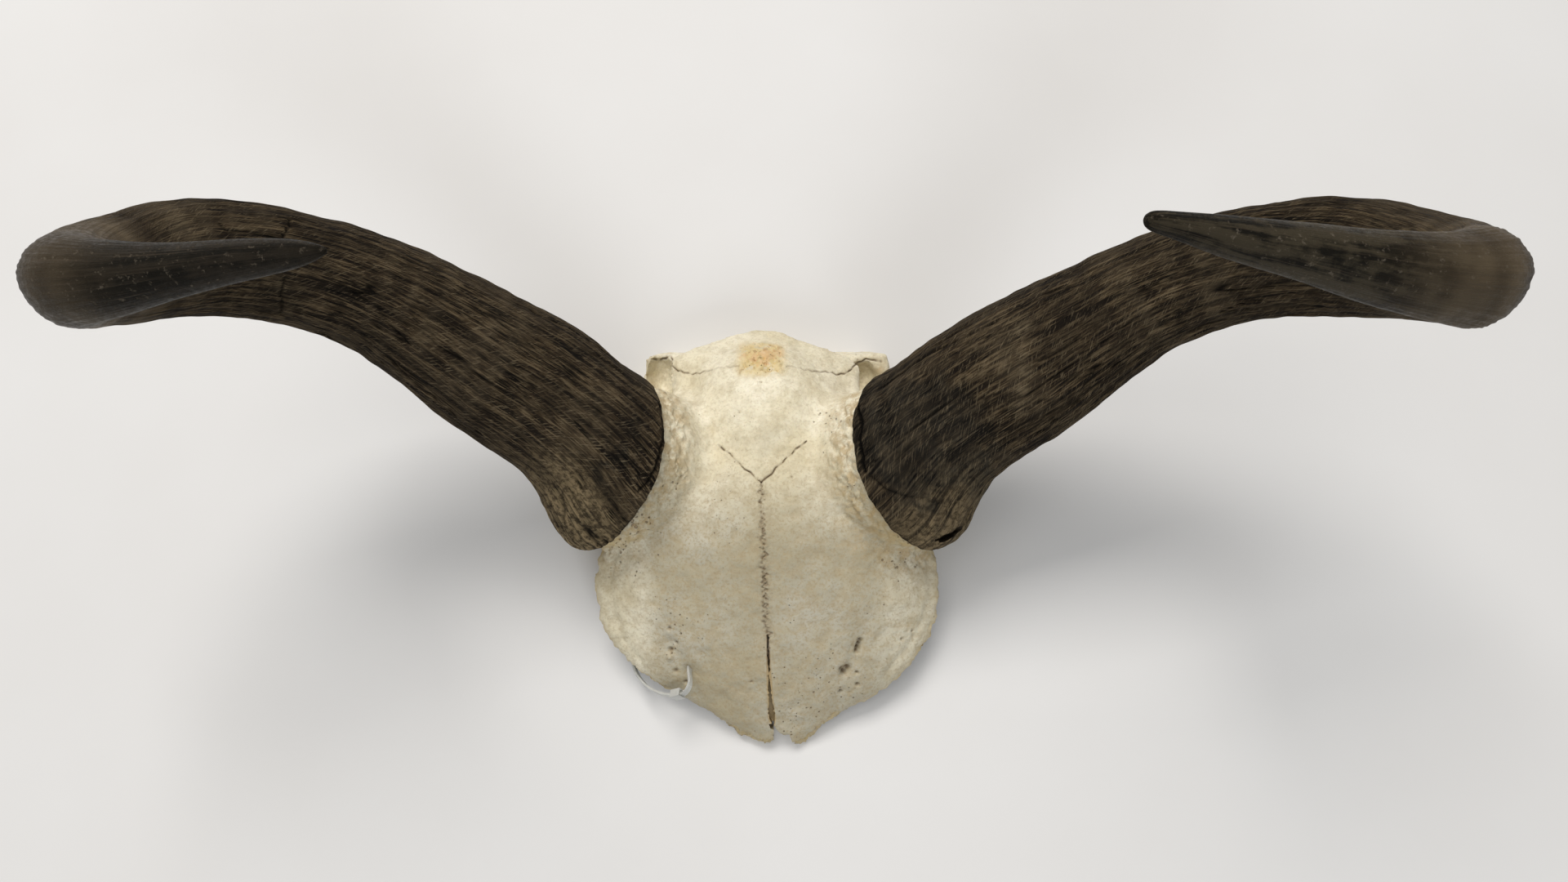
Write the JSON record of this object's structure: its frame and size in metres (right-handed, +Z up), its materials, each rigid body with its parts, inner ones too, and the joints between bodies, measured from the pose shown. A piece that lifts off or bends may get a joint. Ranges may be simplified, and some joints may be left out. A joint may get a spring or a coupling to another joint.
{
  "type": "antelope horns on skull plate",
  "caption": "Sawn skull plate of a young spiral-horned antelope with its horns, which sweep out and hook forward, and a nylon cable tie through the orbital rim.",
  "frame": {"origin": "middle of the bounding box, on the plane of the saw cut that the plate lies on", "axes": "+X to the animal's left, +Y to the nape, +Z up out of the forehead"},
  "size_m": [0.447, 0.1854, 0.2267],
  "materials": {
    "bone": "dry, matt, stained bone",
    "horn_sheath": "weathered fibrous keratin, smoother and half glossy towards the tips",
    "clear_nylon": "translucent"
  },
  "bodies": {
    "root": {"skull_plate": "bone", "right_horn_base": "horn_sheath", "right_horn_bend": "horn_sheath", "right_horn_tip": "horn_sheath", "left_horn_base": "horn_sheath", "left_horn_bend": "horn_sheath", "left_horn_tip": "horn_sheath", "cable_tie": "clear_nylon"}
  },
  "joints": []
}
